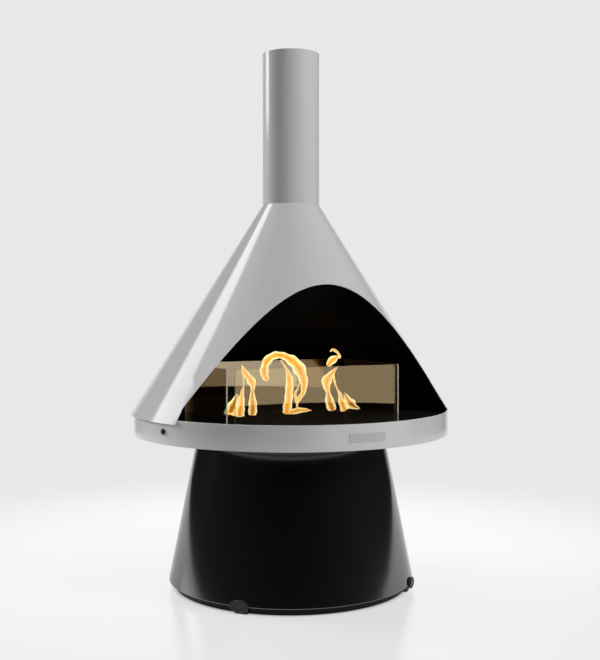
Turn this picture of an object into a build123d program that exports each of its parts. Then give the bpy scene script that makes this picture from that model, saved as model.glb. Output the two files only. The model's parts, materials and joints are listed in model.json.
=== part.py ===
from build123d import *
import os
from math import asin, atan2, cos, degrees, hypot, radians, sin, tan

# A free-standing gel fuel fireplace. Origin at the middle of its footprint, on the floor.
# The mouth faces -Y and the azimuths below turn from there towards +X.

# Driving dimensions, in millimetres
BAND_RADIUS = 432.0
BAND_BOTTOM = 420.0
BAND_TOP = 484.0
BAND_SHEET = 3.0
RIM_ROUND = 1.4

HOOD_SHEET = 1.6
HOOD_LIP = 474.0
HOOD_TOP = 1044.0
PIPE_RADIUS = 79.0
PIPE_TOP = 1462.0
PIPE_WALL = 1.5

MOUTH_PEAK = 824.5
MOUTH_LEAN = 9.0
MOUTH_HALF_ANGLE = 66.0

PEDESTAL_BOTTOM = 19.0
PEDESTAL_BOTTOM_RADIUS = 336.0
PEDESTAL_TOP_RADIUS = 255.0
PEDESTAL_SHEET = 2.0
BASE_RING_RADIUS = 317.0

DECK_TOP = 468.0
DECK_RADIUS = 417.0
DECK_SHEET = 2.0

CAN_RADIUS = 42.5
CAN_HEIGHT = 84.0
CAN_SPACING = 160.0
CAN_RECESS = 2.0

GLASS = 5.0
GLASS_TOP = 605.0
GLASS_FRONT_HALF = 236.5
GLASS_SIDE_HALF = 153.0
GLASS_FRONT_Y = 165.0
GLASS_SIDE_X = 253.5

FOOT_AZIMUTHS = {"front_left": -48, "front_right": 48, "back_right": 132, "back_left": -132}
STRAP_AZIMUTHS = {"left": -73, "right": 73, "back": 180}
CAN_PLACES = {"left": -CAN_SPACING, "middle": 0.0, "right": CAN_SPACING}

# Gaps between pieces that are welded or slipped together
SEAT_GAP = 0.05
SLIP_GAP = 0.4

# Bolts and nuts
BOLT_RADIUS = 4.0
HEX_RADIUS = 7.5
HEAD_HEIGHT = 5.3
NUT_HEIGHT = 6.5
THREAD_RUN_OUT = 2.0
HEARTH_BOLT_CIRCLE = 232.0
FOOT_BOLT_CIRCLE = 300.0

os.makedirs("parts", exist_ok=True)


def outward(azimuth):
    """The level unit vector out from the axis at an azimuth."""
    turn = radians(azimuth)
    return Vector(sin(turn), -cos(turn), 0)


def upright_plane(azimuth):
    """A plane through the axis: its x runs outward at the azimuth and its y runs up."""
    out = outward(azimuth)
    return Plane(origin=(0, 0, 0), x_dir=out, z_dir=out.cross(Vector(0, 0, 1)))


def level_plane(azimuth, radius):
    """A level plane on the floor, at a radius: its x runs outward at the azimuth."""
    return Plane(origin=outward(azimuth) * radius, x_dir=outward(azimuth), z_dir=(0, 0, 1))


def facing_plane(azimuth, radius, height):
    """A plane that faces outward at a radius and height: its y runs up."""
    out = outward(azimuth)
    across = Vector(0, 0, 1).cross(out)
    return Plane(origin=out * radius + Vector(0, 0, height), x_dir=across, z_dir=out)


def save(builder, name):
    """Labels a finished piece and writes it."""
    builder.part.label = name
    export_step(builder.part, f"parts/{name}.step")


# The hood's flare: its inside rests on the band's rounded rim
rim_centre_radius = BAND_RADIUS - RIM_ROUND
rim_centre_height = BAND_TOP - RIM_ROUND
rise = HOOD_TOP - rim_centre_height
run = rim_centre_radius - PIPE_RADIUS
stand_off = RIM_ROUND + HOOD_SHEET + SEAT_GAP
flare = atan2(run, rise) + asin(stand_off / hypot(run, rise))
hood_slope = tan(flare)
hood_level = HOOD_SHEET / cos(flare)


def hood_radius(height):
    """Outer radius of the hood's cone."""
    return PIPE_RADIUS + hood_slope * (HOOD_TOP - height)


def hood_inner(height):
    """Inner radius of the hood's cone."""
    return hood_radius(height) - hood_level


# The pedestal's taper
floor_plate_bottom = BAND_BOTTOM + BAND_SHEET
floor_plate_top = floor_plate_bottom + BAND_SHEET
pedestal_top = floor_plate_bottom
pedestal_slope = (PEDESTAL_BOTTOM_RADIUS - PEDESTAL_TOP_RADIUS) / (pedestal_top - PEDESTAL_BOTTOM)
pedestal_level = PEDESTAL_SHEET * hypot(1, pedestal_slope)


def pedestal_radius(height):
    """Outer radius of the pedestal's cone."""
    return PEDESTAL_TOP_RADIUS + pedestal_slope * (pedestal_top - height)


# Flue pipe
PIPE_ARRIS = 0.4
with BuildPart() as flue_pipe:
    with BuildSketch(Plane.XY.offset(HOOD_TOP)):
        Circle(PIPE_RADIUS)
        Circle(PIPE_RADIUS - PIPE_WALL, mode=Mode.SUBTRACT)
    extrude(amount=PIPE_TOP - HOOD_TOP)
    chamfer(flue_pipe.edges().group_by(Axis.Z)[-1], PIPE_ARRIS)
save(flue_pipe, "flue_pipe")

# Flue collar, a tube that stands in the hood's top opening and locates the pipe
COLLAR_ABOVE = 60.0
COLLAR_BELOW = 12.0
COLLAR_LEAD_IN = 0.8
collar_radius = hood_inner(HOOD_TOP) - SEAT_GAP
with BuildPart() as flue_collar:
    with BuildSketch(Plane.XY.offset(HOOD_TOP - COLLAR_BELOW)):
        Circle(collar_radius)
        Circle(collar_radius - PIPE_WALL, mode=Mode.SUBTRACT)
    extrude(amount=COLLAR_ABOVE + COLLAR_BELOW)
    top_edges = flue_collar.edges().group_by(Axis.Z)[-1]
    chamfer(top_edges.sort_by(SortBy.RADIUS)[-1], COLLAR_LEAD_IN)
save(flue_collar, "flue_collar")

# Hood: a rolled cone, sliced by a plane that leans back, and cut square at the cheeks
MOUTH_SWEEP = 700.0
CUT_MARGIN = 1.0
with BuildPart() as mouth_cut:
    with BuildSketch(Plane.XY.offset(HOOD_LIP - CUT_MARGIN)):
        cheek = outward(MOUTH_HALF_ANGLE) * MOUTH_SWEEP
        Polygon(
            (0, 0),
            (-cheek.X, cheek.Y),
            (-cheek.X, -MOUTH_SWEEP),
            (cheek.X, -MOUTH_SWEEP),
            (cheek.X, cheek.Y),
            align=None,
        )
    extrude(amount=HOOD_TOP - HOOD_LIP)
    lean = radians(MOUTH_LEAN)
    slice_plane = Plane(
        origin=(0, -hood_radius(MOUTH_PEAK), MOUTH_PEAK),
        x_dir=(1, 0, 0),
        z_dir=(0, -cos(lean), -sin(lean)),
    )
    split(bisect_by=slice_plane, keep=Keep.TOP)

with BuildPart() as hood:
    with BuildSketch(Plane.XZ):
        Polygon(
            (hood_radius(HOOD_TOP), HOOD_TOP),
            (hood_radius(HOOD_LIP), HOOD_LIP),
            (hood_inner(HOOD_LIP), HOOD_LIP),
            (hood_inner(HOOD_TOP), HOOD_TOP),
            align=None,
        )
    revolve(axis=Axis.Z)
    add(mouth_cut.part, mode=Mode.SUBTRACT)
save(hood, "hood")

# Hood straps: each follows the band's inside, then bends in along the hood
STRAP_SHEET = 3.0
STRAP_WIDTH = 30.0
STRAP_BOTTOM = 436.0
STRAP_TOP = 532.0
STRAP_GAP = 0.2
SCREW_HEIGHT = (BAND_BOTTOM + BAND_TOP) / 2
SCREW_RADIUS = 4.0
BORE_REACH = 15.0
strap_face = BAND_RADIUS - BAND_SHEET - STRAP_GAP
strap_bend = HOOD_TOP - (strap_face - hood_inner(HOOD_TOP)) / hood_slope
strap_arc = degrees(STRAP_WIDTH / BAND_RADIUS)
strap_level = STRAP_SHEET / cos(flare)
strap_inner_bend = strap_bend - (strap_level - STRAP_SHEET) / hood_slope
for side, azimuth in STRAP_AZIMUTHS.items():
    with BuildPart() as strap:
        with BuildSketch(upright_plane(azimuth - strap_arc / 2)):
            Polygon(
                (strap_face, STRAP_BOTTOM),
                (strap_face, strap_bend - SEAT_GAP),
                (hood_inner(STRAP_TOP) - SEAT_GAP, STRAP_TOP),
                (hood_inner(STRAP_TOP) - strap_level, STRAP_TOP),
                (strap_face - STRAP_SHEET, strap_inner_bend),
                (strap_face - STRAP_SHEET, STRAP_BOTTOM),
                align=None,
            )
        revolve(axis=Axis.Z, revolution_arc=strap_arc)
        with BuildSketch(facing_plane(azimuth, BAND_RADIUS, SCREW_HEIGHT)):
            Circle(SCREW_RADIUS + SEAT_GAP)
        extrude(amount=-BORE_REACH, mode=Mode.SUBTRACT)
    save(strap, f"strap_{side}")

# Strap screws, with domed heads outside the band
SCREW_HEAD_RADIUS = 8.0
SCREW_HEAD_HEIGHT = 4.5
SCREW_HEAD_ROUND = 3.5
SCREW_LENGTH = 12.0
with BuildPart() as strap_screws:
    for azimuth in STRAP_AZIMUTHS.values():
        seat = facing_plane(azimuth, BAND_RADIUS, SCREW_HEIGHT)
        with BuildSketch(seat):
            Circle(SCREW_HEAD_RADIUS)
        extrude(amount=SCREW_HEAD_HEIGHT)
        crown = strap_screws.edges().sort_by(Axis(seat.origin, seat.z_dir))[-1]
        fillet(crown, SCREW_HEAD_ROUND)
        with BuildSketch(seat):
            Circle(SCREW_RADIUS)
        extrude(amount=-SCREW_LENGTH)
save(strap_screws, "strap_screws")

# Hearth band: an upright sheet with a rounded rim and an inward flange at its foot
BAND_FLANGE_INNER = 405.0
BAND_BEND = 3.0
with BuildPart() as hearth_band:
    with BuildSketch(Plane.XZ) as band_profile:
        Polygon(
            (BAND_FLANGE_INNER, BAND_BOTTOM),
            (BAND_RADIUS, BAND_BOTTOM),
            (BAND_RADIUS, BAND_TOP),
            (BAND_RADIUS - BAND_SHEET, BAND_TOP),
            (BAND_RADIUS - BAND_SHEET, BAND_BOTTOM + BAND_SHEET),
            (BAND_FLANGE_INNER, BAND_BOTTOM + BAND_SHEET),
            align=None,
        )
        corners = band_profile.vertices()
        fillet(corners.group_by(Axis.Y)[-1], RIM_ROUND)
        fillet(corners.sort_by_distance((BAND_RADIUS, BAND_BOTTOM))[0], BAND_BEND)
    revolve(axis=Axis.Z)
    for azimuth in STRAP_AZIMUTHS.values():
        with BuildSketch(facing_plane(azimuth, BAND_RADIUS, SCREW_HEIGHT)):
            Circle(SCREW_RADIUS + SLIP_GAP)
        extrude(amount=BORE_REACH, both=True, mode=Mode.SUBTRACT)
save(hearth_band, "hearth_band")

# Hearth floor plate, on the band's flange, with holes for the cups and the bolts
CUP_HOLE_RADIUS = 50.0
with BuildPart() as hearth_floor:
    with BuildSketch(Plane.XY.offset(floor_plate_bottom)):
        Circle(BAND_RADIUS - BAND_SHEET - SEAT_GAP)
        with GridLocations(CAN_SPACING, 0, 3, 1):
            Circle(CUP_HOLE_RADIUS, mode=Mode.SUBTRACT)
        with PolarLocations(HEARTH_BOLT_CIRCLE, 4, start_angle=45):
            Circle(BOLT_RADIUS + SLIP_GAP, mode=Mode.SUBTRACT)
    extrude(amount=BAND_SHEET)
save(hearth_floor, "hearth_floor")

# Deck: a pressed pan turned over, its skirt on the floor plate
DECK_BEND = 6.0
CUP_RADIUS = 45.5
CUP_CLEARANCE = 1.0
CHANNEL_WALL = 1.5
CHANNEL_SLOT = 6.0
CHANNEL_DEPTH = 14.0
CHANNEL_RUN_OUT = 2.0
channel_width = CHANNEL_SLOT + 2 * CHANNEL_WALL
channel_lengths = {
    "front": 2 * (GLASS_FRONT_HALF + CHANNEL_RUN_OUT),
    "back": 2 * (GLASS_FRONT_HALF + CHANNEL_RUN_OUT),
    "left": 2 * (GLASS_SIDE_HALF + CHANNEL_RUN_OUT),
    "right": 2 * (GLASS_SIDE_HALF + CHANNEL_RUN_OUT),
}
glass_spots = {
    "front": Location((0, -GLASS_FRONT_Y)),
    "back": Location((0, GLASS_FRONT_Y)),
    "left": Location((-GLASS_SIDE_X, 0), 90),
    "right": Location((GLASS_SIDE_X, 0), 90),
}
glass_planes = {
    "front": Plane((0, -GLASS_FRONT_Y - GLASS / 2, 0), x_dir=(1, 0, 0), z_dir=(0, 1, 0)),
    "back": Plane((0, GLASS_FRONT_Y - GLASS / 2, 0), x_dir=(1, 0, 0), z_dir=(0, 1, 0)),
    "left": Plane((-GLASS_SIDE_X - GLASS / 2, 0, 0), x_dir=(0, 1, 0), z_dir=(1, 0, 0)),
    "right": Plane((GLASS_SIDE_X - GLASS / 2, 0, 0), x_dir=(0, 1, 0), z_dir=(1, 0, 0)),
}
with BuildPart() as deck:
    with BuildSketch(Plane.XY.offset(floor_plate_top)):
        Circle(DECK_RADIUS)
    extrude(amount=DECK_TOP - floor_plate_top)
    fillet(deck.edges().group_by(Axis.Z)[-1], DECK_BEND)
    offset(amount=-DECK_SHEET, openings=deck.faces().sort_by(Axis.Z)[0])
    with BuildSketch(Plane.XY.offset(DECK_TOP)):
        with GridLocations(CAN_SPACING, 0, 3, 1):
            Circle(CUP_RADIUS + CUP_CLEARANCE)
        for side, spot in glass_spots.items():
            with Locations(spot):
                Rectangle(channel_lengths[side] + 2 * SEAT_GAP, channel_width + 2 * SEAT_GAP)
    extrude(amount=-DECK_SHEET, mode=Mode.SUBTRACT)
save(deck, "deck")

# Can cups: each hangs by its rim in the deck and goes down through the floor plate
CUP_WALL = 1.2
CUP_RIM_RADIUS = 54.0
CUP_RIM_SHEET = 1.2
CUP_RIM_ROUND = 0.8
CUP_ROUND = 3.0
can_top = DECK_TOP - CAN_RECESS
cup_floor = can_top - CAN_HEIGHT
for side, x in CAN_PLACES.items():
    with BuildPart() as cup:
        with BuildSketch(Plane.XY.offset(cup_floor - CUP_WALL)):
            with Locations((x, 0)):
                Circle(CUP_RADIUS)
        extrude(amount=DECK_TOP - cup_floor + CUP_WALL)
        fillet(cup.edges().group_by(Axis.Z)[0], CUP_ROUND)
        with BuildSketch(Plane.XY.offset(DECK_TOP)):
            with Locations((x, 0)):
                Circle(CUP_RIM_RADIUS)
        extrude(amount=CUP_RIM_SHEET)
        fillet(cup.edges().group_by(Axis.Z)[-1], CUP_RIM_ROUND)
        with BuildSketch(Plane.XY.offset(cup_floor)):
            with Locations((x, 0)):
                Circle(CUP_RADIUS - CUP_WALL)
        extrude(amount=DECK_TOP - cup_floor + CUP_RIM_SHEET, mode=Mode.SUBTRACT)
    save(cup, f"cup_{side}")

# Fuel cans: a drawn body with rolled seams and a plug ring round the mouth
CAN_WALL = 0.8
CAN_BASE_RECESS = 1.5
SEAM_WIDTH = 2.8
SEAM_HEIGHT = 3.5
SEAM_TAPER = 1.0
CAN_MOUTH_RADIUS = 33.0
PLUG_RING_WALL = 1.6
PLUG_RING_DROP = 0.8
PLUG_RING_DEPTH = 3.0
GEL_DROP = 12.0
seam_radius = CAN_RADIUS + CAN_WALL
seam_inner = seam_radius - SEAM_WIDTH
can_base = cup_floor + CAN_BASE_RECESS
can_shoulder = can_top - PLUG_RING_DEPTH
for side, x in CAN_PLACES.items():
    with BuildPart() as can:
        with BuildSketch(Plane.XZ.shift_origin((x, 0, 0))):
            Polygon(
                (0, can_base),
                (seam_inner, can_base),
                (seam_inner, cup_floor),
                (seam_radius, cup_floor),
                (seam_radius, cup_floor + SEAM_HEIGHT),
                (CAN_RADIUS, cup_floor + SEAM_HEIGHT + SEAM_TAPER),
                (CAN_RADIUS, can_top - SEAM_HEIGHT - SEAM_TAPER),
                (seam_radius, can_top - SEAM_HEIGHT),
                (seam_radius, can_top),
                (seam_inner, can_top),
                (seam_inner, can_shoulder),
                (CAN_MOUTH_RADIUS + PLUG_RING_WALL, can_shoulder),
                (CAN_MOUTH_RADIUS + PLUG_RING_WALL, can_top - PLUG_RING_DROP),
                (CAN_MOUTH_RADIUS, can_top - PLUG_RING_DROP),
                (CAN_MOUTH_RADIUS, can_shoulder - CAN_WALL),
                (CAN_RADIUS - CAN_WALL, can_shoulder - CAN_WALL),
                (CAN_RADIUS - CAN_WALL, can_base + CAN_WALL),
                (0, can_base + CAN_WALL),
                align=None,
            )
        revolve(axis=Axis((x, 0, 0), (0, 0, 1)))
    save(can, f"fuel_can_{side}")

    with BuildPart() as gel:
        with BuildSketch(Plane.XY.offset(can_base + CAN_WALL)):
            with Locations((x, 0)):
                Circle(CAN_RADIUS - CAN_WALL - SEAT_GAP)
        extrude(amount=can_top - GEL_DROP - can_base - CAN_WALL)
    save(gel, f"gel_{side}")

# Glass channels, let into the deck's slots, and the panes that stand in them
GLASS_CORNER = 6.0
GLASS_ARRIS = 0.6
channel_floor = DECK_TOP - CHANNEL_DEPTH
for side, spot in glass_spots.items():
    with BuildPart() as channel:
        with BuildSketch(Plane.XY.offset(channel_floor - CHANNEL_WALL)):
            with Locations(spot):
                Rectangle(channel_lengths[side], channel_width)
        extrude(amount=CHANNEL_DEPTH + CHANNEL_WALL)
        with BuildSketch(Plane.XY.offset(channel_floor)):
            with Locations(spot):
                Rectangle(channel_lengths[side] + 2 * CUT_MARGIN, CHANNEL_SLOT)
        extrude(amount=CHANNEL_DEPTH, mode=Mode.SUBTRACT)
    save(channel, f"channel_{side}")

    half_length = GLASS_FRONT_HALF if side in ("front", "back") else GLASS_SIDE_HALF
    pane_plane = glass_planes[side]
    up = pane_plane.y_dir.Z
    with BuildPart() as pane:
        with BuildSketch(pane_plane):
            with Locations((0, up * (channel_floor + GLASS_TOP) / 2)):
                RectangleRounded(2 * half_length, GLASS_TOP - channel_floor, GLASS_CORNER)
        extrude(amount=GLASS)
        flat_faces = pane.faces().sort_by(SortBy.AREA)[-2:]
        chamfer(flat_faces.edges(), GLASS_ARRIS)
    save(pane, f"glass_{side}")

# Pedestal: a rolled cone with a return flange turned in at its foot
RETURN_INNER = 290.0
PEDESTAL_BEND = 1.5
return_top = PEDESTAL_BOTTOM + PEDESTAL_SHEET
with BuildPart() as pedestal:
    with BuildSketch(Plane.XZ) as pedestal_profile:
        Polygon(
            (RETURN_INNER, PEDESTAL_BOTTOM),
            (pedestal_radius(PEDESTAL_BOTTOM), PEDESTAL_BOTTOM),
            (pedestal_radius(pedestal_top), pedestal_top),
            (pedestal_radius(pedestal_top) - pedestal_level, pedestal_top),
            (pedestal_radius(return_top) - pedestal_level, return_top),
            (RETURN_INNER, return_top),
            align=None,
        )
        rim_corner = pedestal_profile.vertices().sort_by(Axis.X)[-1]
        fillet(rim_corner, PEDESTAL_BEND)
    revolve(axis=Axis.Z)
    with BuildSketch(Plane.XY.offset(PEDESTAL_BOTTOM)):
        for azimuth in FOOT_AZIMUTHS.values():
            with Locations(outward(azimuth) * FOOT_BOLT_CIRCLE):
                Circle(BOLT_RADIUS + SLIP_GAP)
    extrude(amount=PEDESTAL_SHEET, mode=Mode.SUBTRACT)
save(pedestal, "pedestal")

# Pedestal top flange, welded inside the cone and bolted up to the floor plate
FLANGE_INNER = 212.0
FLANGE_SHEET = 4.0
flange_bottom = pedestal_top - FLANGE_SHEET
flange_edge = pedestal_level + SEAT_GAP
with BuildPart() as pedestal_flange:
    with BuildSketch(Plane.XZ):
        Polygon(
            (FLANGE_INNER, flange_bottom),
            (pedestal_radius(flange_bottom) - flange_edge, flange_bottom),
            (pedestal_radius(pedestal_top) - flange_edge, pedestal_top),
            (FLANGE_INNER, pedestal_top),
            align=None,
        )
    revolve(axis=Axis.Z)
    with BuildSketch(Plane.XY.offset(flange_bottom)):
        with PolarLocations(HEARTH_BOLT_CIRCLE, 4, start_angle=45):
            Circle(BOLT_RADIUS + SLIP_GAP)
    extrude(amount=FLANGE_SHEET, mode=Mode.SUBTRACT)
save(pedestal_flange, "pedestal_flange")

# Hearth bolts and nuts
hearth_bolt_shank = BAND_SHEET + FLANGE_SHEET + NUT_HEIGHT + THREAD_RUN_OUT
with BuildPart() as hearth_bolts:
    with BuildSketch(Plane.XY.offset(floor_plate_top)):
        with PolarLocations(HEARTH_BOLT_CIRCLE, 4, start_angle=45):
            RegularPolygon(HEX_RADIUS, 6)
    extrude(amount=HEAD_HEIGHT)
    with BuildSketch(Plane.XY.offset(floor_plate_top)):
        with PolarLocations(HEARTH_BOLT_CIRCLE, 4, start_angle=45):
            Circle(BOLT_RADIUS)
    extrude(amount=-hearth_bolt_shank)
save(hearth_bolts, "hearth_bolts")

with BuildPart() as hearth_nuts:
    with BuildSketch(Plane.XY.offset(flange_bottom)):
        with PolarLocations(HEARTH_BOLT_CIRCLE, 4, start_angle=45):
            RegularPolygon(HEX_RADIUS, 6)
            Circle(BOLT_RADIUS + SEAT_GAP, mode=Mode.SUBTRACT)
    extrude(amount=-NUT_HEIGHT)
save(hearth_nuts, "hearth_nuts")

# Base ring: a hoop set back under the pedestal, notched from below where the feet pass
BASE_RING_SHEET = 3.0
NOTCH_TOP = 12.0
PAD_WIDTH = 40.0
with BuildPart() as base_ring:
    with BuildSketch():
        Circle(BASE_RING_RADIUS)
        Circle(BASE_RING_RADIUS - BASE_RING_SHEET, mode=Mode.SUBTRACT)
    extrude(amount=PEDESTAL_BOTTOM - SEAT_GAP)
    for azimuth in FOOT_AZIMUTHS.values():
        with BuildSketch(level_plane(azimuth, BASE_RING_RADIUS)):
            Rectangle(4 * BASE_RING_SHEET, PAD_WIDTH + 2 * SLIP_GAP)
        extrude(amount=NOTCH_TOP, mode=Mode.SUBTRACT)
save(base_ring, "base_ring")

# Feet: an oval bumper outside the rim, on a pad that straddles the base ring
FOOT_REACH = 341.0
FOOT_HEIGHT = 21.5
FOOT_DEPTH = 20.0
OVAL_HALF_WIDTH = 25.0
OVAL_HALF_HEIGHT = 14.5
OVAL_ROUND = 3.0
DISH_DEPTH = 1.5
DISH_MARGIN = 5.0
PAD_INNER = 286.0
PAD_OUTER = 330.0
PAD_CORNER = 8.0
PAD_CHAMFER = 1.0
BOLT_HEAD_RECESS = 9.0
RECESS_CLEARANCE = 1.0
CONE_CUT_TOP = 60.0
pad_middle = (PAD_INNER + PAD_OUTER) / 2
for place, azimuth in FOOT_AZIMUTHS.items():
    front = facing_plane(azimuth, FOOT_REACH, FOOT_HEIGHT)
    out_axis = Axis((0, 0, 0), outward(azimuth))
    with BuildPart() as foot:
        with BuildSketch(front):
            Ellipse(OVAL_HALF_WIDTH, OVAL_HALF_HEIGHT)
        extrude(amount=-FOOT_DEPTH)
        fillet(foot.faces().sort_by(out_axis)[-1].edges(), OVAL_ROUND)
        with BuildSketch(front):
            Ellipse(OVAL_HALF_WIDTH - DISH_MARGIN, OVAL_HALF_HEIGHT - DISH_MARGIN)
        extrude(amount=-DISH_DEPTH, mode=Mode.SUBTRACT)
        with BuildSketch(level_plane(azimuth, pad_middle)):
            RectangleRounded(PAD_OUTER - PAD_INNER, PAD_WIDTH, PAD_CORNER)
        extrude(amount=PEDESTAL_BOTTOM)
        chamfer(foot.edges().group_by(Axis.Z)[0], PAD_CHAMFER)
        with BuildSketch(Plane.XZ):
            Polygon(
                (0, PEDESTAL_BOTTOM),
                (pedestal_radius(PEDESTAL_BOTTOM) + SEAT_GAP, PEDESTAL_BOTTOM),
                (pedestal_radius(CONE_CUT_TOP) + SEAT_GAP, CONE_CUT_TOP),
                (0, CONE_CUT_TOP),
                align=None,
            )
        revolve(axis=Axis.Z, mode=Mode.SUBTRACT)
        with BuildSketch(Plane.XY.offset(NOTCH_TOP - SLIP_GAP)):
            Circle(BASE_RING_RADIUS + SLIP_GAP)
            Circle(BASE_RING_RADIUS - BASE_RING_SHEET - SLIP_GAP, mode=Mode.SUBTRACT)
        extrude(amount=PEDESTAL_BOTTOM - NOTCH_TOP + SLIP_GAP, mode=Mode.SUBTRACT)
        with BuildSketch(level_plane(azimuth, FOOT_BOLT_CIRCLE)):
            Circle(BOLT_RADIUS + SLIP_GAP)
        extrude(amount=PEDESTAL_BOTTOM, mode=Mode.SUBTRACT)
        with BuildSketch(level_plane(azimuth, FOOT_BOLT_CIRCLE)):
            Circle(HEX_RADIUS + RECESS_CLEARANCE)
        extrude(amount=BOLT_HEAD_RECESS, mode=Mode.SUBTRACT)
    save(foot, f"foot_{place}")

# Foot bolts and nuts
foot_bolt_shank = return_top + NUT_HEIGHT + THREAD_RUN_OUT - BOLT_HEAD_RECESS
with BuildPart() as foot_bolts:
    for azimuth in FOOT_AZIMUTHS.values():
        with BuildSketch(Plane.XY.offset(BOLT_HEAD_RECESS)):
            with Locations(outward(azimuth) * FOOT_BOLT_CIRCLE):
                RegularPolygon(HEX_RADIUS, 6)
        extrude(amount=-HEAD_HEIGHT)
        with BuildSketch(Plane.XY.offset(BOLT_HEAD_RECESS)):
            with Locations(outward(azimuth) * FOOT_BOLT_CIRCLE):
                Circle(BOLT_RADIUS)
        extrude(amount=foot_bolt_shank)
save(foot_bolts, "foot_bolts")

with BuildPart() as foot_nuts:
    with BuildSketch(Plane.XY.offset(return_top)):
        for azimuth in FOOT_AZIMUTHS.values():
            with Locations(outward(azimuth) * FOOT_BOLT_CIRCLE):
                RegularPolygon(HEX_RADIUS, 6)
                Circle(BOLT_RADIUS + SEAT_GAP, mode=Mode.SUBTRACT)
    extrude(amount=NUT_HEIGHT)
save(foot_nuts, "foot_nuts")
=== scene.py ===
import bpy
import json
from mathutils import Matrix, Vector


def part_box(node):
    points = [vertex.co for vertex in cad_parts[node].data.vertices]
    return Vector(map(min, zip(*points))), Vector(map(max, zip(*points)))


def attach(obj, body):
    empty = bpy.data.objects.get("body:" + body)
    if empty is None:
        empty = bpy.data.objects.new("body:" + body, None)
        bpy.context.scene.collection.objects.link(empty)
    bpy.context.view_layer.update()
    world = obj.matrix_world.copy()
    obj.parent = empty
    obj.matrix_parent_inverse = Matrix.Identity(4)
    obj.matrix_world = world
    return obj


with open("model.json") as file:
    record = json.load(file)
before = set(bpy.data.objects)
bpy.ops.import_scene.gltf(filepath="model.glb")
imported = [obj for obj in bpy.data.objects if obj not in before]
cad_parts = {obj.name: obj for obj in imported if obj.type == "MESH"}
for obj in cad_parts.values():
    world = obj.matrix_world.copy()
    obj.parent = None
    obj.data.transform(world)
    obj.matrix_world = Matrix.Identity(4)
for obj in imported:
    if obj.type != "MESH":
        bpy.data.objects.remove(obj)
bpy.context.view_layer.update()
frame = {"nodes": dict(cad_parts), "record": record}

import json
from math import cos, pi, radians, sin

import bmesh
import bpy
from mathutils import Vector

nodes = frame["nodes"]

# Where the photograph was taken from: the object's front is turned to the camera's right
TURN = radians(26.02)
CAMERA_SPOT = Vector((-1.2618, -2.6422, 0.7808))
SENSOR_WIDTH, LENS, SHIFT_UP = 36.0, 57.5, -0.0451
TO_RIGHT = Vector((cos(TURN), -sin(TURN), 0))
TO_CAMERA = Vector((-sin(TURN), -cos(TURN), 0))
UP = Vector((0, 0, 1))
NEVER_ZERO = 0.0001
MM_IN_M = 1000


def studio(toward, right, height):
    """A spot given from the object's axis: towards the camera, to its right, above the floor."""
    return TO_CAMERA * toward + TO_RIGHT * right + UP * height


def from_axis(x, y):
    """How far a place is from the object's upright axis."""
    return (x * x + y * y) ** 0.5


def piece_from(name, mesh, material):
    """A new object in the scene, from a finished mesh and its material."""
    data = bpy.data.meshes.new(name)
    mesh.to_mesh(data)
    mesh.free()
    data.materials.append(material)
    piece = bpy.data.objects.new(name, data)
    bpy.context.collection.objects.link(piece)
    return piece


class Value:
    """A number, vector or colour in a finish. Sums and products of these add the Math nodes."""

    def __init__(self, finish, socket):
        self.finish = finish
        self.socket = socket

    def maths(self, operation, a, b=0.0):
        return self.finish.node("ShaderNodeMath", {"operation": operation}, {0: a, 1: b})

    def __add__(self, other):
        return self.maths("ADD", self, other)

    def __sub__(self, other):
        return self.maths("SUBTRACT", self, other)

    def __rsub__(self, other):
        return self.maths("SUBTRACT", other, self)

    def __mul__(self, other):
        return self.maths("MULTIPLY", self, other)

    def __truediv__(self, other):
        return self.maths("DIVIDE", self, other)

    def __pow__(self, other):
        return self.maths("POWER", self, other)

    __radd__ = __add__
    __rmul__ = __mul__

    def size(self):
        return self.maths("ABSOLUTE", self)

    def held(self):
        """Kept between 0 and 1."""
        return self.finish.node("ShaderNodeClamp", {}, {"Value": self})

    def ramp(self, low, high):
        """0 below low, 1 above high, smooth between."""
        return self.finish.node(
            "ShaderNodeMapRange",
            {"interpolation_type": "SMOOTHSTEP"},
            {"Value": self, "From Min": low, "From Max": high},
        )


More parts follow.
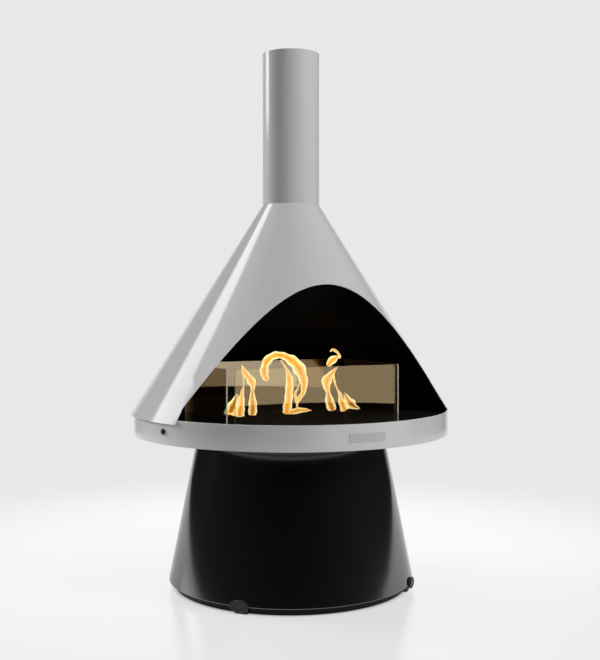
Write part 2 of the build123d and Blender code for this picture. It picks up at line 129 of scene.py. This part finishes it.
class Finish:
    """A node material, or the world, and the few calls that write one."""

    def __init__(self, name, tree=None):
        if tree is None:
            self.material = bpy.data.materials.new(name)
            self.material.use_nodes = True
            tree = self.material.node_tree
        self.tree = tree
        self.tree.nodes.clear()

    def node(self, kind, settings, inputs, out=0):
        made = self.tree.nodes.new(kind)
        for key, value in settings.items():
            setattr(made, key, value)
        for key, value in inputs.items():
            if isinstance(value, Value):
                self.tree.links.new(value.socket, made.inputs[key])
            else:
                made.inputs[key].default_value = value
        return Value(self, made.outputs[out]) if len(made.outputs) else None

    def spot(self):
        """The place on the object, in metres from its origin."""
        return self.node("ShaderNodeTexCoord", {}, {}, "Object")

    def facing(self):
        """The way that the surface faces, before any bump."""
        return self.node("ShaderNodeTexCoord", {}, {}, "Normal")

    def axes(self, vector):
        split = self.node("ShaderNodeSeparateXYZ", {}, {0: vector})
        node = split.socket.node
        return [Value(self, node.outputs[i]) for i in range(3)]

    def noise(self, where, scale, detail=2.0, roughness=0.5):
        return self.node(
            "ShaderNodeTexNoise",
            {},
            {"Vector": where, "Scale": scale, "Detail": detail, "Roughness": roughness},
        )

    def stretched(self, where, x, y, z):
        return self.node(
            "ShaderNodeVectorMath", {"operation": "MULTIPLY"}, {0: where, 1: (x, y, z)}
        )

    def mixed(self, share, first, second):
        """From the first colour to the second as share goes from 0 to 1."""
        return self.node(
            "ShaderNodeMix",
            {"data_type": "RGBA"},
            {0: share, 6: first, 7: second},
            2,
        )

    def bump(self, height, depth):
        return self.node(
            "ShaderNodeBump", {}, {"Height": height, "Distance": depth, "Strength": 1.0}
        )

    def outward(self):
        """1 on a side that faces away from the object's axis, 0 on one that faces it."""
        x, y, _ = self.axes(self.spot())
        facing_x, facing_y, _ = self.axes(self.facing())
        return (x * facing_x + y * facing_y) / (from_axis(x, y) + NEVER_ZERO)

    def surface(self, **inputs):
        """The Principled surface; names use _ for a space."""
        named = {key.replace("_", " "): value for key, value in inputs.items()}
        body = self.node("ShaderNodeBsdfPrincipled", {}, named)
        self.node("ShaderNodeOutputMaterial", {}, {"Surface": body})
        return self.material


def grey(value, warmth=0.0):
    """An opaque grey, a little warm or cool."""
    return (value * (1 + warmth), value, value * (1 - warmth), 1.0)


# Finishes. These heights are where a mark starts and where it is full
CAN_HEATED = (0.440, 0.466)
FOOT_DUSTY = (0.0, 0.03)


def enamel_finish(name, inside_colour):
    """Light warm grey gloss enamel outside; heat-proof black inside."""
    f = Finish(name)
    where = f.spot()
    outside = f.outward().ramp(-0.45, -0.35)
    cloud = f.noise(where, 3.0, 3.0)
    fleck = f.noise(where, 420.0, 1.0)
    shade = f.mixed(cloud, grey(0.410, 0.008), grey(0.430, 0.012))
    shade = f.mixed(fleck.ramp(0.62, 0.8) * 0.25, shade, grey(0.36, 0.01))
    soot = f.mixed(f.noise(where, 9.0, 5.0).ramp(0.35, 0.75), inside_colour, grey(0.012, 0.05))
    peel = f.noise(where, 210.0, 2.0, 0.4)
    rough = 0.07 + f.noise(where, 14.0, 4.0) * 0.05
    return f.surface(
        Base_Color=f.mixed(outside, soot, shade),
        Roughness=rough * outside + (1 - outside) * 0.55,
        Metallic=outside * 0.12,
        IOR=1.6,
        Normal=f.bump(peel, 0.00006),
    )


def black_coat_finish(name, gloss, roughness):
    """Black powder coat, with its fine orange-peel texture. gloss is the coat's IOR."""
    f = Finish(name)
    where = f.spot()
    cloud = f.noise(where, 5.0, 4.0)
    grain = f.noise(where, 900.0, 2.0, 0.6)
    return f.surface(
        Base_Color=f.mixed(cloud, grey(0.0014), grey(0.0026)),
        Roughness=roughness + cloud * 0.03 + grain * 0.02,
        IOR=gloss,
        Normal=f.bump(grain, 0.000008),
    )


def deck_finish():
    """Gloss black enamel, wiped clean: faint wipe marks from side to side in its gloss."""
    f = Finish("deck_gloss_black")
    where = f.spot()
    wipes = f.noise(f.stretched(where, 7.0, 60.0, 7.0), 3.0, 3.0)
    dust = f.noise(where, 600.0, 1.0).ramp(0.68, 0.8)
    return f.surface(
        Base_Color=f.mixed(dust * 0.4, grey(0.011), grey(0.04)),
        Roughness=0.05 + wipes * 0.05,
        IOR=1.55,
        Normal=f.bump(f.noise(where, 160.0, 2.0), 0.00003),
    )


def cup_finish():
    """Heat-proof black, browned by the flame round each can."""
    f = Finish("cup_black")
    where = f.spot()
    brown = f.noise(where, 38.0, 4.0).ramp(0.4, 0.7)
    return f.surface(
        Base_Color=f.mixed(brown, grey(0.010), (0.030, 0.018, 0.010, 1)),
        Roughness=0.32 + brown * 0.2,
        Normal=f.bump(f.noise(where, 500.0, 2.0), 0.00004),
    )


def tin_finish():
    """Bright tinplate with the drawing marks that run round a can, heat-tinted near its mouth."""
    f = Finish("tinplate")
    where = f.spot()
    rings = f.noise(f.stretched(where, 2.0, 2.0, 900.0), 1.0, 2.0)
    heated = f.axes(where)[2].ramp(*CAN_HEATED)
    metal = f.mixed(f.noise(where, 25.0, 4.0), grey(0.50, 0.01), grey(0.62, 0.02))
    return f.surface(
        Base_Color=f.mixed(heated * 0.7, metal, (0.34, 0.20, 0.10, 1)),
        Metallic=1.0,
        Roughness=0.24 + rings * 0.14,
        Normal=f.bump(rings, 0.00003),
    )


def gel_finish():
    """Wet pink alcohol gel with small bubbles and a puckered top."""
    f = Finish("alcohol_gel")
    where = f.spot()
    bubbles = f.node("ShaderNodeTexVoronoi", {}, {"Vector": where, "Scale": 260.0})
    pucker = f.noise(where, 90.0, 4.0)
    return f.surface(
        Base_Color=f.mixed(bubbles.ramp(0.1, 0.5), (0.62, 0.40, 0.44, 1), (0.50, 0.22, 0.29, 1)),
        Roughness=0.12 + pucker * 0.1,
        Coat_Weight=0.4,
        Normal=f.bump(pucker + bubbles * 0.4, 0.0008),
    )


def steel_finish(name, value, roughness):
    """Plain or plated steel: fine mill lines and a little mottling."""
    f = Finish(name)
    where = f.spot()
    mottle = f.noise(where, 120.0, 5.0, 0.6)
    lines = f.noise(f.stretched(where, 30.0, 30.0, 700.0), 1.0, 2.0)
    return f.surface(
        Base_Color=f.mixed(mottle, grey(value * 0.85, 0.01), grey(value, 0.02)),
        Metallic=1.0,
        Roughness=roughness + mottle * 0.12,
        Normal=f.bump(lines + mottle, 0.00004),
    )


def rubber_finish():
    """Moulded black rubber, with dust that gathers above the floor."""
    f = Finish("moulded_rubber")
    where = f.spot()
    grain = f.noise(where, 700.0, 3.0, 0.6)
    dust = f.noise(where, 60.0, 4.0).ramp(0.5, 0.8) * f.axes(where)[2].ramp(*FOOT_DUSTY)
    return f.surface(
        Base_Color=f.mixed(dust * 0.5, grey(0.012), grey(0.045, 0.02)),
        Roughness=0.34 + grain * 0.12,
        Normal=f.bump(grain, 0.0001),
    )


def screw_finish():
    """Gloss black screw heads."""
    f = Finish("black_screws")
    where = f.spot()
    wear = f.noise(where, 300.0, 4.0)
    return f.surface(
        Base_Color=f.mixed(wear, grey(0.006), grey(0.016)),
        Roughness=0.12 + wear * 0.08,
        Normal=f.bump(wear, 0.00003),
    )


def glass_finish(name, across, cover, tint):
    """Heat-proof glass with an amber mirror sheen, and ground edges that catch the light."""
    f = Finish(name)
    where = f.spot()
    facing = f.axes(f.facing())[across].size()
    edge = 1 - facing.ramp(0.55, 0.95)
    smear = f.noise(f.stretched(where, 6.0, 6.0, 14.0), 2.0, 4.0)
    sheen = f.node("ShaderNodeFresnel", {}, {"IOR": 1.5})
    mirrored = (cover + sheen * 0.6).held()
    return f.surface(
        Base_Color=f.mixed(edge, tint, (0.60, 0.56, 0.46, 1)),
        Metallic=1 - edge,
        Roughness=0.015 + smear * 0.02 + edge * 0.4,
        Alpha=mirrored * (1 - edge) + edge * 0.5,
    )


def flame_finish():
    """Burning gas: pale yellow at the rim of each tongue, clear orange inside."""
    f = Finish("flame")
    core = f.node("ShaderNodeAttribute", {"attribute_name": "core"}, {}, "Fac")
    hollow = f.node("ShaderNodeAttribute", {"attribute_name": "hollow"}, {}, "Fac")
    where = f.spot()
    wisp = f.noise(f.stretched(where, 1.0, 1.0, 0.35), 130.0, 3.0, 0.6)
    depth = (core * 0.85 + (wisp - 0.5) * 0.8 + 0.04).held()
    pale = (1.0, 0.86, 0.46, 1)
    amber = (1.0, 0.52, 0.09, 1)
    deep = (0.82, 0.27, 0.022, 1)
    colour = f.mixed(depth.ramp(0.15, 0.50), pale, amber)
    colour = f.mixed(depth.ramp(0.50, 0.95), colour, deep)
    return f.surface(
        Base_Color=(0, 0, 0, 1),
        Roughness=1.0,
        Specular_IOR_Level=0.0,
        Emission_Color=colour,
        Emission_Strength=1.3,
        Alpha=(1.0 - depth.ramp(0.30, 0.70) * hollow) * core.ramp(-0.05, 0.10).size(),
    )


def plate_finish():
    """Brushed and lacquered light alloy, with nothing written on it."""
    f = Finish("satin_plate")
    where = f.spot()
    brushing = f.noise(f.stretched(where, 20.0, 20.0, 2600.0), 1.0, 2.0)
    return f.surface(
        Base_Color=f.mixed(brushing, grey(0.36, 0.004), grey(0.41, 0.006)),
        Metallic=0.25,
        Roughness=0.26 + brushing * 0.12,
        Normal=f.bump(brushing, 0.00001),
    )


finishes = {
    "grey_enamel": enamel_finish("grey_enamel_coat", grey(0.004)),
    "black_enamel": black_coat_finish("satin_black_coat", 2.4, 0.09),
    "gloss_black_deck": deck_finish(),
    "black_cups": cup_finish(),
    "black_screws": screw_finish(),
    "plain_steel": steel_finish("plain_steel_tube", 0.45, 0.28),
    "tinplate": tin_finish(),
    "zinc_fasteners": steel_finish("zinc_plate", 0.60, 0.25),
    "alcohol_gel": gel_finish(),
    "black_rubber": rubber_finish(),
}
AMBER, PALE_AMBER = (0.95, 0.70, 0.37, 1), (0.95, 0.80, 0.54, 1)
node_finishes = {
    "base_ring": black_coat_finish("matt_black_ring", 1.3, 0.45),
    "glass_front": glass_finish("front_pane_glass", 1, 0.13, AMBER),
    "glass_back": glass_finish("back_pane_glass", 1, 0.42, PALE_AMBER),
    "glass_left": glass_finish("left_pane_glass", 0, 0.13, AMBER),
    "glass_right": glass_finish("right_pane_glass", 0, 0.13, AMBER),
}

for part in frame["record"]["subparts"]:
    node = nodes[part["node"]]
    finish = node_finishes.get(part["node"]) or finishes[part["material_slot"]]
    for place in node.material_slots:
        place.material = finish

# Flames: tongues of burning gas, each a flat swept body that faces the way the photograph was
# taken. A point is (across, above the can's mouth, half width), in millimetres.
FLAMES = {
    "left": {
        "column": [(6, -2, 11.7), (7, 15, 11.2), (10, 33, 8.9), (11, 52, 7.0), (13, 66, 4.7),
                   (16, 80, 1.9), (16, 99, 1.9), (15, 113, 3.7), (13, 124, 3.3), (11, 139, 0.5)],
        "blade": [(12, 138, 0.7), (18, 122, 5.1), (27, 108, 9.3), (36, 96, 11.2), (41, 82, 7.5),
                  (40, 68, 3.7)],
        "loop": [(40, 68, 3.6), (40, 54, 7.9), (41, 33, 11.7), (41, 17, 12.2), (39, 2, 9.6)],
        "pool": [(-30, 6, 0.8), (-16, 6, 3.0), (0, 4, 6.0), (12, 3, 7.0)],
        "wedge": [(0, 60, 1.5), (-6, 44, 9.0), (-13, 27, 15.5), (-17, 13, 18.0), (-18, 4, 17.0)],
    },
    "middle": {
        "column": [(-12, -4, 10.8), (-10, 17, 12.0), (-7, 36, 12.0), (-5, 60, 12.4),
                   (-4, 84, 11.5), (-5, 100, 9.6), (-10, 117, 4.3), (-18, 132, 2.2),
                   (-29, 147, 1.2)],
        "arch": [(33, 60, 6.2), (37, 79, 9.6), (33, 98, 13.9), (25, 120, 17.2), (12, 138, 15.8),
                 (-6, 152, 12.4), (-28, 161, 10.0), (-49, 159, 11.5), (-65, 147, 11.0),
                 (-73, 129, 12.0), (-74, 110, 12.9), (-69, 97, 8.6), (-65, 89, 1.9)],
        "limb": [(39, 69, 4.8), (33, 55, 5.7), (25, 44, 6.2), (18, 29, 3.3), (17, 12, 2.2)],
        "strand": [(23, 84, 2.2), (19, 69, 2.2), (12, 56, 3.3), (14, 41, 4.3), (17, 26, 2.2)],
        "pool": [(-18, -3, 3.8), (1, 3, 7.2), (20, 8, 7.7), (37, 9, 5.7), (57, 8, 0.7)],
    },
    "right": {
        "hook": [(-33, 168, 1.7), (-25, 173, 3.4), (-14, 167, 3.4), (-5, 155, 3.2),
                 (-7, 148, 2.2)],
        "bead": [(-7, 154, 2.4), (-16, 150, 6.9), (-28, 142, 10.8), (-36, 132, 8.8),
                 (-39, 126, 2.9)],
        "blade": [(-11, 124, 0.5), (-22, 113, 4.9), (-34, 98, 11.0), (-43, 83, 15.2),
                  (-43, 69, 10.3), (-39, 54, 6.4)],
        "loop": [(-39, 54, 5.9), (-36, 34, 10.3), (-31, 15, 13.2), (-25, -4, 10.3)],
        "strand": [(-23, 103, 2.4), (-21, 86, 2.9), (-16, 69, 2.0), (-9, 54, 2.9), (-4, 42, 5.4)],
        "column": [(-5, 54, 2.4), (-3, 34, 6.9), (2, 20, 10.8), (7, 5, 12.2), (10, -4, 10.8)],
        "wedge": [(7, 50, 2.0), (15, 36, 9.0), (25, 21, 13.5), (38, 11, 8.0), (52, 6, 1.0)],
    },
}
# How clear each kind of tongue is inside
HOLLOW = {"wedge": 0.80, "loop": 0.66, "arch": 0.25, "bead": 0.25, "limb": 0.20, "strand": 0.0,
          "pool": 0.10, "hook": 0.0, "column": 0.18, "blade": 0.12}
DEPTH_SHARE = 0.42
STEPS_BETWEEN = 7
RING_POINTS = 16
ABOVE_CAN = 0.001
# The waver of a tongue's width, as a share of it, and how far apart its waves are
FLICKER = 0.16
WAVER_UP, WAVER_ACROSS = 4.1, 3.3
# How far the first tongue sways towards the camera and back, and over what rise
LEAST_SWAY, SWAY_RISE = 3, 28
THINNEST = 0.3


def curve_through(points, steps):
    """Points on a smooth line through the given ones (Catmull-Rom)."""
    padded = [points[0], *points, points[-1]]
    line = []
    for i in range(1, len(padded) - 2):
        a, b, c, d = (Vector(p) for p in padded[i - 1 : i + 3])
        for k in range(steps):
            t = k / steps
            line.append(
                0.5
                * (
                    2 * b
                    + (c - a) * t
                    + (2 * a - 5 * b + 4 * c - d) * t * t
                    + (3 * b - a - 3 * c + d) * t * t * t
                )
            )
    line.append(Vector(points[-1]))
    return line


def tongue(mesh, points, base, clear, sway):
    """Adds one swept tongue to the mesh. core is 0 along its two rims and 1 in its middle."""
    core = mesh.verts.layers.float.get("core")
    hollow = mesh.verts.layers.float.get("hollow")
    line = curve_through(points, STEPS_BETWEEN)
    rings = []
    for i, (across, above, half) in enumerate(line):
        before, after = line[max(i - 1, 0)], line[min(i + 1, len(line) - 1)]
        run = Vector((after[0] - before[0], after[1] - before[1])).normalized()
        side = TO_RIGHT * -run[1] + UP * run[0]
        middle = base + (TO_RIGHT * across + UP * above) / MM_IN_M
        middle = middle + TO_CAMERA * sway * sin(above / SWAY_RISE) / MM_IN_M
        waver = sin(above / WAVER_UP + sway) + sin(across / WAVER_ACROSS + 2 * sway)
        half = max(half * (1 + FLICKER * waver / 2), THINNEST) / MM_IN_M
        ring = []
        for k in range(RING_POINTS):
            turn = 2 * pi * k / RING_POINTS
            out = side * (half * cos(turn)) + TO_CAMERA * (half * DEPTH_SHARE * sin(turn))
            vert = mesh.verts.new(middle + out)
            vert[core] = 1 - abs(cos(turn))
            vert[hollow] = clear
            ring.append(vert)
        rings.append(ring)
    for low, high in zip(rings, rings[1:]):
        for k in range(RING_POINTS):
            n = (k + 1) % RING_POINTS
            mesh.faces.new((low[k], low[n], high[n], high[k]))
    mesh.faces.new(list(reversed(rings[0])))
    mesh.faces.new(rings[-1])


flame_coat = flame_finish()
for place, tongues in FLAMES.items():
    low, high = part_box(f"fuel_can_{place}")
    mouth = Vector(((low[0] + high[0]) / 2, (low[1] + high[1]) / 2, high[2] + ABOVE_CAN))
    mesh = bmesh.new()
    mesh.verts.layers.float.new("core")
    mesh.verts.layers.float.new("hollow")
    for number, (kind, points) in enumerate(tongues.items()):
        raised = [(across, max(above, 0), half) for across, above, half in points]
        tongue(mesh, raised, mouth, HOLLOW[kind], LEAST_SWAY + number)
    flame = piece_from(f"flame_{place}", mesh, flame_coat)
    flame.data.shade_smooth()
    flame.visible_shadow = False
    flame.visible_glossy = False
    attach(flame, f"can_{place}")

# Bare plate on the front of the band, rolled to its curve
PLATE_WIDTH = 0.100
PLATE_HEIGHT = 0.022
PLATE_THICK = 0.0004
PLATE_GAP = 0.0001
PLATE_ROUND = 0.00015
PLATE_LEVEL = 0.450
PLATE_COLUMNS = 24
PLATE_ROWS = 4
band_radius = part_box("hearth_band")[1][0]
plate_radius = band_radius + PLATE_GAP
mesh = bmesh.new()
grid = []
for column in range(PLATE_COLUMNS + 1):
    across = PLATE_WIDTH * (column / PLATE_COLUMNS - 0.5) / band_radius
    stack = []
    for row in range(PLATE_ROWS + 1):
        up = PLATE_LEVEL + PLATE_HEIGHT * (row / PLATE_ROWS - 0.5)
        spot = (plate_radius * sin(across), -plate_radius * cos(across), up)
        stack.append(mesh.verts.new(spot))
    grid.append(stack)
for left, right in zip(grid, grid[1:]):
    for row in range(PLATE_ROWS):
        mesh.faces.new((left[row], right[row], right[row + 1], left[row + 1]))
plate = piece_from("bare_plate", mesh, plate_finish())
thick = plate.modifiers.new("thickness", "SOLIDIFY")
thick.thickness = PLATE_THICK
thick.offset = 1.0
soft = plate.modifiers.new("rounded edge", "BEVEL")
soft.width = PLATE_ROUND
soft.segments = 2
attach(plate, "body")

# Studio: a pale floor that fades into the backdrop's colour
BACKDROP = 0.807
FLOOR_REACH = 3.6
FLOOR_SIDES = 96
FLOOR_DROP = 0.0005
# How far from the axis the painted contact shadow round the pedestal's foot is full and where it
# ends, and where the fade starts and ends
PAINTED_FOOT_SHADOW = (0.302, 0.334)
FADE = (0.75, 1.9)
NEAR_GLOW = 0.655
# What the world and the far floor give to the light that isn't seen directly
FILL = 0.10
FAR_FILL = FILL * 1.6


def backdrop_rays(f):
    """1 for gloss rays alone; and 1 for all that show the backdrop: camera, gloss and glass."""
    rays = f.node("ShaderNodeLightPath", {}, {}).socket.node.outputs
    names = ("Is Camera Ray", "Is Glossy Ray", "Is Transmission Ray")
    camera_ray, glossy_ray, glass_ray = (Value(f, rays[name]) for name in names)
    return glossy_ray, (camera_ray + glossy_ray + glass_ray).held()


def floor_finish():
    """Pale gloss floor with a painted contact shadow close round the foot, that fades into the
    backdrop far out.
    """
    f = Finish("pale_floor")
    x, y, _ = f.axes(f.spot())
    reach = from_axis(x, y)
    _, shown = backdrop_rays(f)
    # The floor's glow is taken away close round the foot: a painted contact shadow
    glow_beyond_painted_shadow = shown * reach.ramp(*PAINTED_FOOT_SHADOW)
    near = f.node(
        "ShaderNodeBsdfPrincipled",
        {},
        {
            "Base Color": grey(0.10),
            "Roughness": 0.22,
            "Specular IOR Level": 0.4,
            "Emission Color": f.mixed(glow_beyond_painted_shadow, grey(0.0), grey(NEAR_GLOW)),
            "Emission Strength": 1.0,
        },
    )
    far_colour = f.mixed(shown, grey(FAR_FILL), grey(BACKDROP))
    far = f.node("ShaderNodeEmission", {}, {"Color": far_colour, "Strength": 1.0})
    both = f.node("ShaderNodeMixShader", {}, {0: reach.ramp(*FADE), 1: near, 2: far})
    f.node("ShaderNodeOutputMaterial", {}, {"Surface": both})
    return f.material


mesh = bmesh.new()
bmesh.ops.create_circle(mesh, cap_ends=True, segments=FLOOR_SIDES, radius=FLOOR_REACH)
floor = piece_from("floor", mesh, floor_finish())
floor.location.z = -FLOOR_DROP

# World: the plain backdrop to the camera and behind the object; for gloss a dark room in front,
# with a tall strip lamp on the left, a ceiling panel, and pale floor on the right
STRIP_START, STRIP_END = (-119, -114), (-98, -94)
STRIP_LEAN = 0.28
STRIP_FOOT = (0.150, 0.175)
STRIP_LEVEL, STRIP_FALL = 3.55, 1.1
CEILING_EDGE = (0.50, 0.66)
CEILING_LEVEL = 1.15
BEHIND_EDGE = (-0.80, -0.97)
RIGHT_START, RIGHT_END = (0, 30), (75, 105)
HORIZON = (-0.02, 0.0)


def sector(turn, start, end):
    """1 between two soft edges, each given in degrees round from the camera's side."""
    opened = turn.ramp(radians(start[0]), radians(start[1]))
    return opened * (1 - turn.ramp(radians(end[0]), radians(end[1])))


world = bpy.context.scene.world or bpy.data.worlds.new("studio")
bpy.context.scene.world = world
world.use_nodes = True
w = Finish("studio", world.node_tree)
x, y, z = w.axes(w.node("ShaderNodeTexCoord", {}, {}, "Generated"))
front = x * TO_CAMERA.x + y * TO_CAMERA.y
side = x * TO_RIGHT.x + y * TO_RIGHT.y
turn = w.node("ShaderNodeMath", {"operation": "ARCTAN2"}, {0: side, 1: front})
strip = sector(turn + z * STRIP_LEAN, STRIP_START, STRIP_END)
strip = strip * z.ramp(*STRIP_FOOT) * (STRIP_LEVEL - z * STRIP_FALL)
ceiling = z.ramp(*CEILING_EDGE) * (0.55 - side * 0.75).held() * CEILING_LEVEL
behind = front.ramp(*BEHIND_EDGE) * BACKDROP
right_floor = sector(turn, RIGHT_START, RIGHT_END) * (1 - z.ramp(*HORIZON)) * BACKDROP
dim = 0.006 + side * side * 0.014 + (1 - z.ramp(0.0, 0.2)) * 0.010
mirrored = dim + strip + ceiling + behind + right_floor
shiny, shown = backdrop_rays(w)
strength = (shown - shiny).held() * BACKDROP + shiny * mirrored + (1 - shown) * FILL
background = w.node("ShaderNodeBackground", {}, {"Color": grey(1.0), "Strength": strength})
w.node("ShaderNodeOutputWorld", {}, {"Surface": background})


def soft_light(name, spot, aim, wide, deep, watts):
    """A soft rectangular lamp at a spot, turned to an aim, that gloss doesn't show."""
    lamp = bpy.data.lights.new(name, "AREA")
    lamp.shape = "RECTANGLE"
    lamp.size, lamp.size_y = wide, deep
    lamp.energy = watts
    holder = bpy.data.objects.new(name, lamp)
    holder.location = spot
    holder.rotation_mode = "QUATERNION"
    holder.rotation_quaternion = (spot - aim).to_track_quat("Z", "Y")
    holder.visible_camera = False
    holder.visible_glossy = False
    bpy.context.collection.objects.link(holder)


hood_level = Vector((0, 0, 0.8))
low_left = studio(0.95, -0.75, 0.02)
soft_light("right_key", studio(2.2, 3.8, 2.6), hood_level, wide=1.6, deep=1.4, watts=285)
soft_light("left_fill", studio(-1.5, -4.2, 2.0), hood_level, wide=2.0, deep=1.6, watts=350)
soft_light("top_fill", studio(0.2, 0.1, 3.4), hood_level, wide=2.6, deep=2.6, watts=20)
soft_light("floor_bounce", low_left, low_left + UP, wide=1.0, deep=1.0, watts=8.5)

# Camera
camera = bpy.data.cameras.new("camera")
camera.sensor_width = SENSOR_WIDTH
camera.lens = LENS
camera.shift_y = SHIFT_UP
viewer = bpy.data.objects.new("camera", camera)
viewer.location = CAMERA_SPOT
viewer.rotation_euler = (pi / 2, 0, -TURN)
bpy.context.collection.objects.link(viewer)
bpy.context.scene.camera = viewer

bpy.context.scene.view_settings.view_transform = "Standard"
